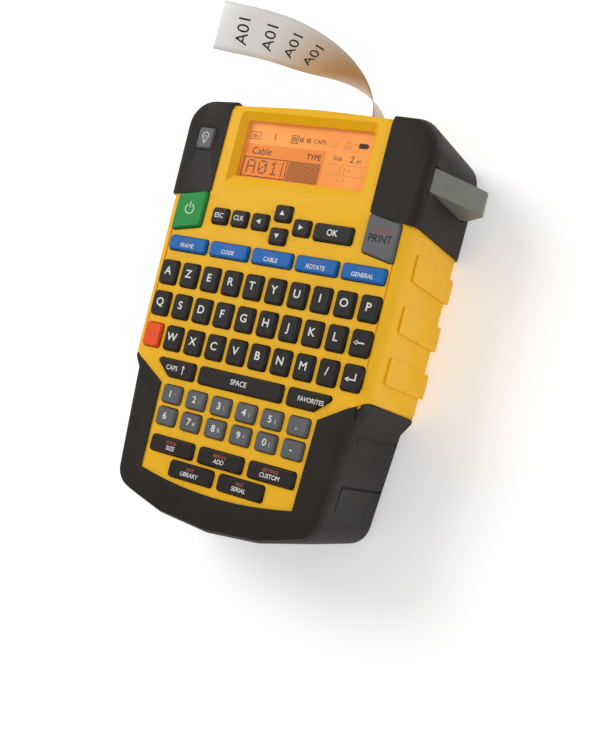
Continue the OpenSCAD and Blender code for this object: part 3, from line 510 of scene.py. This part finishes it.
def single_legends():
    for node, text, size in (("key_escape", "ESC", 2.9), ("key_clear", "CLR", 2.9), ("key_ok", "OK", 3.6),
                             ("key_space", "SPACE", 3.0)):
        p = single(node, text, size, bold=0.06 if node == "key_ok" else 0.04, wide=0.9)[0]
        p.make(body_of(node), top_of(node))
    p = single("key_favourites", "FAVORITES", 2.7, 1.2, 0.0, wide=0.86)[0]
    p.make(body_of("key_favourites"), top_of("key_favourites"))
    p = single("key_alternate", "ALT", 3.0, inks=[ORANGE_INK], bold=0.05, wide=0.9)[0]
    p.make(body_of("key_alternate"), top_of("key_alternate"))
    p, x, y = single("key_capitals", "CAPS", 2.8, -0.9, 0.0, wide=0.88)
    p.line([(x + 4.6, y - 1.9), (x + 4.6, y + 1.0)], 0.4)
    p.patch([(x + 4.6, y + 2.1), (x + 3.9, y + 0.8), (x + 5.3, y + 0.8)])
    p.make(body_of("key_capitals"), top_of("key_capitals"))
    p, x, y = single("key_print", "PRINT", 4.3, inks=[BLACK_INK, RED_INK], dy=-0.6, bold=0.05, wide=0.86)
    p.word("COPY", x + 0.4, y + 2.4, 2.4, 1, lean=0.2)
    p.make(body_of("key_print"), top_of("key_print"))


def triangle_key(node, turn_deg):
    p = Print("legend_" + node, [WHITE_INK])
    x, y = centre(node)
    turn = Matrix.Rotation(math.radians(turn_deg), 2)
    p.patch([tuple(Vector((x, y)) + turn @ Vector(c)) for c in ((0, 1.15), (-1.1, -0.85), (1.1, -0.85))])
    p.make(body_of(node), top_of(node))


def icon_legends():
    for node, turn_deg in (("key_up", 0), ("key_left", 90), ("key_down", 180), ("key_right", 270)):
        triangle_key(node, turn_deg)
    x, y = centre("key_power")
    p = Print("legend_key_power", [MINT_INK])
    p.arc(x + 0.2, y + 0.4, 2.1, 120, 420, 0.5)
    p.line([(x + 0.2, y + 0.9), (x + 0.2, y + 3.6)], 0.5)
    p.make(body_of("key_power"), top_of("key_power"))
    x, y = centre("key_light")
    p = Print("legend_key_light", [WHITE_INK])
    p.arc(x, y + 0.9, 1.5, -60, 240, 0.32)
    p.line([(x - 0.75, y - 0.4), (x - 0.6, y - 1.3)], 0.3)
    p.line([(x + 0.75, y - 0.4), (x + 0.6, y - 1.3)], 0.3)
    p.line([(x - 0.7, y - 1.6), (x + 0.7, y - 1.6)], 0.32)
    p.line([(x - 0.45, y - 2.2), (x + 0.45, y - 2.2)], 0.32)
    p.line([(x - 0.5, y + 1.0), (x, y + 0.4), (x + 0.5, y + 1.0)], 0.2)
    p.make(body_of("key_light"), top_of("key_light"))


# --- Display content ---------------------------------------------------------
WINDOW_W = 59.5
WINDOW_H = 24.5
FONT_5X7 = {
    "A": (".###.", "#...#", "#...#", "#####", "#...#", "#...#", "#...#"),
    "0": (".###.", "#...#", "#..##", "#.#.#", "##..#", "#...#", ".###."),
    "1": ("..#..", ".##..", "..#..", "..#..", "..#..", "..#..", ".###."),
}


def dot_word(p, text, x, y, pitch, dot):
    for k, letter in enumerate(text):
        for r, line in enumerate(FONT_5X7[letter]):
            for c, cell in enumerate(line):
                if cell == "#":
                    px = x + (k * 6.5 + c) * pitch
                    py = y - r * pitch
                    p.bar(px, py, px + dot, py + dot)


def display_marks():
    x0, y0 = centre("display_window")
    x0 -= WINDOW_W / 2
    y0 -= WINDOW_H / 2
    z = top_of("lcd_panel")
    ground = Print("display_matrix", [DEEP_LCD])
    ground.bar(x0 + 0.4, y0 + 0.3, x0 + 38.5, y0 + 15.2)
    ground.make("root", z)
    p = Print("display_marks", [BROWN_LCD, PALE_LCD])
    p.word("Cable", x0 + 8.6, y0 + 12.2, 4.4, 0, wide=0.95)
    p.word("TYPE", x0 + 33.6, y0 + 12.0, 3.4, 0, bold=0.03, wide=0.9)
    box = [(x0 + 1.0, y0 + 1.2), (x0 + 22.0, y0 + 1.2), (x0 + 22.0, y0 + 9.4), (x0 + 1.0, y0 + 9.4)]
    p.line(box, 0.34, 0, closed=True)
    dot_word(p, "A01", x0 + 3.0, y0 + 7.8, 0.86, 0.66)
    p.bar(x0 + 20.0, y0 + 2.0, x0 + 20.4, y0 + 8.6)
    for r in range(15):
        for c in range(13):
            px = x0 + 22.6 + c * 1.16 + (0.58 if r % 2 else 0.0)
            py = y0 + 0.9 + r * 0.58
            p.bar(px, py, px + 0.72, py + 0.46)
    tag = [(x0 + 1.0, y0 + 17.4), (x0 + 6.2, y0 + 17.4), (x0 + 6.2, y0 + 20.4), (x0 + 1.0, y0 + 20.4)]
    p.line(tag, 0.22, 0, closed=True)
    p.word("abc", x0 + 3.6, y0 + 18.9, 2.4)
    p.bar(x0 + 13.2, y0 + 17.6, x0 + 13.6, y0 + 20.2)
    p.line([(x0 + 21.4, y0 + 17.2), (x0 + 24.4, y0 + 17.2), (x0 + 24.4, y0 + 20.4), (x0 + 21.4, y0 + 20.4)],
           0.3, 0, closed=True)
    for i in range(3):
        for j in range(3):
            x = x0 + 21.9 + i * 3.3
            p.bar(x + j * 0.7, y0 + 17.8, x + j * 0.7 + 0.36, y0 + 19.8)
    p.word("CAPS", x0 + 34.6, y0 + 18.8, 2.5)
    p.arc(x0 + 41.6, y0 + 18.7, 1.3, 0, 360, 0.2, 1)
    p.line([(x0 + 46.2, y0 + 17.3), (x0 + 49.4, y0 + 17.3), (x0 + 47.8, y0 + 20.3)], 0.22, 1, closed=True)
    p.bar(x0 + 52.6, y0 + 17.8, x0 + 56.6, y0 + 19.9)
    p.bar(x0 + 56.6, y0 + 18.4, x0 + 57.2, y0 + 19.3)
    p.word("Size", x0 + 44.6, y0 + 12.8, 2.6)
    p.word("2", x0 + 51.0, y0 + 12.8, 4.0, 0, lean=0.1)
    p.word("pt", x0 + 54.2, y0 + 12.5, 2.4)
    for i, y in enumerate((8.0, 3.6)):
        p.word("= + -" if i else "[ ] >", x0 + 49.0, y0 + y, 3.0, 1)
        p.line([(x0 + 40.4, y0 + y + 2.2), (x0 + 58.4, y0 + y + 2.2)], 0.14, 1)
    p.make("root", z + 0.02)


def face_lines():
    """The shallow frame moulded round the four arrow keys, drawn as a thin darker yellow line: painted shade
    standing in for the groove.
    """
    x = centre("key_up")[0]
    y = centre("key_left")[1]
    p = Print("face_frame", [GROOVE_PAINTED_SHADE])
    half_w, half_h, cut = 8.3, 5.3, 1.0
    corners = [(x - half_w, y + half_h - cut), (x - half_w + cut, y + half_h), (x + half_w - cut, y + half_h),
               (x + half_w, y + half_h - cut), (x + half_w, y - half_h + cut), (x + half_w - cut, y - half_h),
               (x - half_w + cut, y - half_h), (x - half_w, y - half_h + cut)]
    p.line(corners, 0.18, 0, closed=True)
    p.make("root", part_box("front_case")[1].z / MM, "yellow_shell")


# --- The printed label -------------------------------------------------------
def tape_axes(s):
    """Direction of travel and direction across, at s millimetres outside the slot."""
    heading = math.radians(TAPE_CURL * s * (1 - CURL_EASING * s))
    climb = math.radians(TAPE_RISE * s * (1 - RISE_EASING * s))
    roll = math.radians(TAPE_TWIST * s + TWIST_GROWTH * s * s)
    level = Vector((-math.sin(heading), math.cos(heading), 0.0))
    along = level * math.cos(climb) + Vector((0.0, 0.0, math.sin(climb)))
    up = (Vector((0, 0, 1)) - along * along.z).normalized()
    side = along.cross(up)
    return along, up * math.cos(roll) + side * math.sin(roll)


def tape_line():
    """Middle line of the tape: (s, point), first the straight part inside, then the curl outside."""
    line = [(-TAPE_INSIDE, TAPE_EXIT - Vector((0, TAPE_INSIDE, 0))), (0.0, TAPE_EXIT.copy())]
    step = TAPE_OUTSIDE / TAPE_STEPS
    here = TAPE_EXIT.copy()
    for i in range(TAPE_STEPS):
        here = here + tape_axes((i + 0.5) * step)[0] * step
        line.append(((i + 1) * step, here.copy()))
    return line


TAPE_LINE = tape_line()


def on_tape(s, across, lift):
    """A point on the tape: s along it, across it from its middle, and lift off its surface."""
    step = TAPE_OUTSIDE / TAPE_STEPS
    k = max(0, min(TAPE_STEPS - 1, int(s / step)))
    part = s / step - k
    here = TAPE_LINE[k + 1][1].lerp(TAPE_LINE[k + 2][1], part)
    along, over = tape_axes(max(0.0, s))
    return here + over * across + over.cross(along) * lift


def label_piece():
    cols = 8
    half_t = TAPE_T / 2
    mesh = bmesh.new()
    for side in (1, -1):
        rings = []
        for s, point in TAPE_LINE:
            along, over = tape_axes(max(0.0, s))
            face = over.cross(along)
            ring = []
            for c in range(cols + 1):
                across = TAPE_W * (c / cols - 0.5)
                ring.append(mesh.verts.new((point + over * across + face * side * half_t) * MM))
            rings.append(ring)
        for a, b in zip(rings, rings[1:]):
            for c in range(cols):
                quad = [a[c], a[c + 1], b[c + 1], b[c]]
                mesh.faces.new(quad if side > 0 else quad[::-1])
    edges = [e for e in mesh.edges if e.is_boundary]
    bmesh.ops.bridge_loops(mesh, edges=edges)
    bmesh.ops.recalc_face_normals(mesh, faces=mesh.faces)
    data = bpy.data.meshes.new("label_film")
    mesh.to_mesh(data)
    mesh.free()
    data.materials.append(MATERIALS["label_film"])
    data.shade_smooth()
    obj = bpy.data.objects.new("label_film", data)
    bpy.context.scene.collection.objects.link(obj)
    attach(obj, "label")
    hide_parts("label_strip")
    return obj


def label_prints():
    for i in range(PRINT_COUNT):
        s0 = TAPE_OUTSIDE - PRINT_MARGIN - i * PRINT_SPACING
        p = Print("label_print_%d" % (i + 1), [BLACK_INK],
                  where=lambda u, v, s0=s0: on_tape(s0 + v, u, TAPE_T / 2 + FILM_PRINT_LIFT))
        p.word("A01", 0.0, 0.0, PRINT_SIZE, wide=1.05)
        p.make("label")


# --- Stage, light and camera, in metres except the floor gap ------------------
FLOOR_REACH = 6.0
FLOOR_GAP = 0.2
WORLD_STRENGTH = 0.5
LIT_SPOT = (0, 0, 0.03)
CAMERA_SPOT = (0.2071, -0.0389, 0.4064)
CAMERA_RIGHT = Vector((0.86561, 0.24552, -0.43640))
CAMERA_BACK = Vector((0.46250, -0.05807, 0.88472))


def floor():
    mat, tree, shader = new_material("floor")
    tex = noise(tree, 60.0)
    tone = mix(tree, spread(tree, tex.outputs["Fac"], 0.0, 1.0), (0.92, 0.92, 0.92), (0.94, 0.94, 0.94))
    tree.links.new(tone, shader.inputs["Base Color"])
    tree.links.new(tone, shader.inputs["Emission Color"])
    shader.inputs["Emission Strength"].default_value = 0.35
    shader.inputs["Roughness"].default_value = 0.5
    shader.inputs["Specular IOR Level"].default_value = 0.2
    mesh = bpy.data.meshes.new("floor")
    reach = FLOOR_REACH
    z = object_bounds()[0].z - FLOOR_GAP * MM
    mesh.from_pydata([(-reach, -reach, z), (reach, -reach, z), (reach, reach, z), (-reach, reach, z)], [],
                     [(0, 1, 2, 3)])
    mesh.materials.append(mat)
    obj = bpy.data.objects.new("floor", mesh)
    bpy.context.scene.collection.objects.link(obj)
    obj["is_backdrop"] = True


def area_light(name, spot, target, size, power):
    data = bpy.data.lights.new(name, "AREA")
    data.shape = "DISK"
    data.size = size
    data.energy = power
    obj = bpy.data.objects.new(name, data)
    obj.location = spot
    obj.rotation_mode = "QUATERNION"
    obj.rotation_quaternion = (Vector(target) - Vector(spot)).to_track_quat("-Z", "Y")
    bpy.context.scene.collection.objects.link(obj)


def lighting():
    world = bpy.data.worlds.new("studio")
    world.use_nodes = True
    back = world.node_tree.nodes["Background"]
    back.inputs["Color"].default_value = (1.0, 1.0, 1.0, 1.0)
    back.inputs["Strength"].default_value = WORLD_STRENGTH
    bpy.context.scene.world = world
    area_light("key", (-0.55, 0.35, 0.85), LIT_SPOT, 0.55, 4.6)
    area_light("side", (0.80, -0.15, 0.45), LIT_SPOT, 0.50, 1.0)
    bpy.context.scene.view_settings.view_transform = "Standard"


def camera():
    data = bpy.data.cameras.new("camera")
    data.lens = 50.0
    data.sensor_width = 36.0
    data.clip_start = 0.01
    data.clip_end = 50.0
    obj = bpy.data.objects.new("camera", data)
    back = CAMERA_BACK.normalized()
    up = back.cross(CAMERA_RIGHT).normalized()
    right = up.cross(back)
    turn = Matrix((right, up, back)).transposed().to_4x4()
    obj.matrix_world = Matrix.Translation(CAMERA_SPOT) @ turn
    bpy.context.scene.collection.objects.link(obj)
    bpy.context.scene.camera = obj


for node_name, node_obj in frame["nodes"].items():
    dress(node_name, node_obj)
keypad_legends()
single_legends()
icon_legends()
display_marks()
face_lines()
label_piece()
label_prints()
floor()
lighting()
camera()
